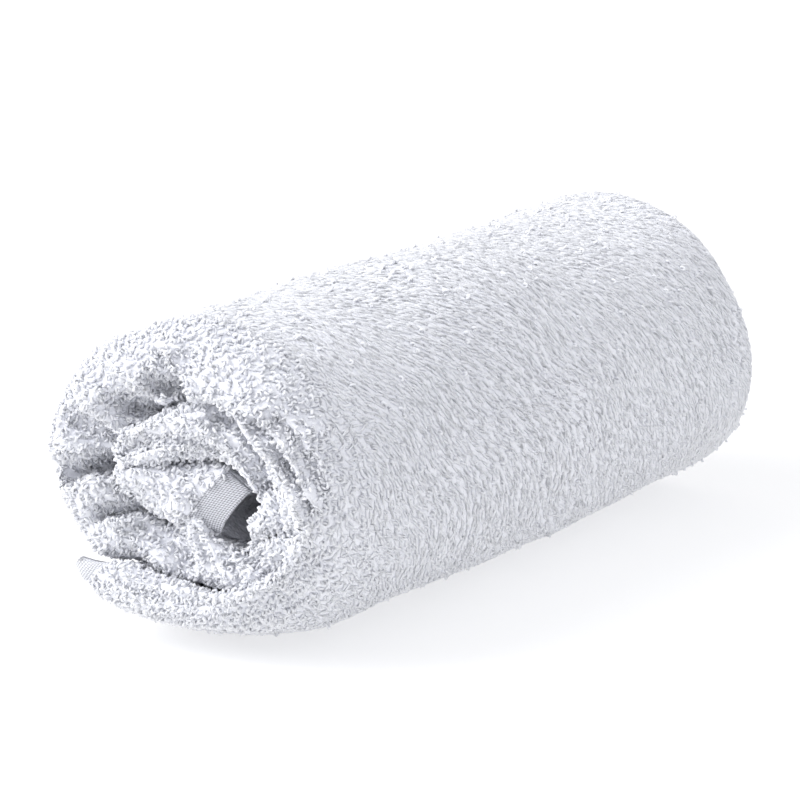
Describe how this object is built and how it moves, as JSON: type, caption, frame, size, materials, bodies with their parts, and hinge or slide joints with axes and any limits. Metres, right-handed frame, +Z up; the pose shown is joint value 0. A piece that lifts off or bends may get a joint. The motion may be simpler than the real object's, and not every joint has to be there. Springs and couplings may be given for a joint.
{
  "type": "rolled hand towel",
  "caption": "White terry hand towel, folded to a thick band and wound up from one short side, lying on its side with its loose end under it and the winding open at one end.",
  "frame": {"origin": "middle of the underside of the roll's bounding box, on the surface it lies on", "axes": "+Z up; the roll lies along Y and the end that shows the winding points at -Y; seen from there the cloth runs anticlockwise from its loose end at the lower left"},
  "size_m": [0.1034, 0.2422, 0.1002],
  "materials": {
    "terry": "matt white cotton terry loops with a plain woven hem"
  },
  "bodies": {
    "root": {"towel_roll": "terry"}
  },
  "joints": []
}
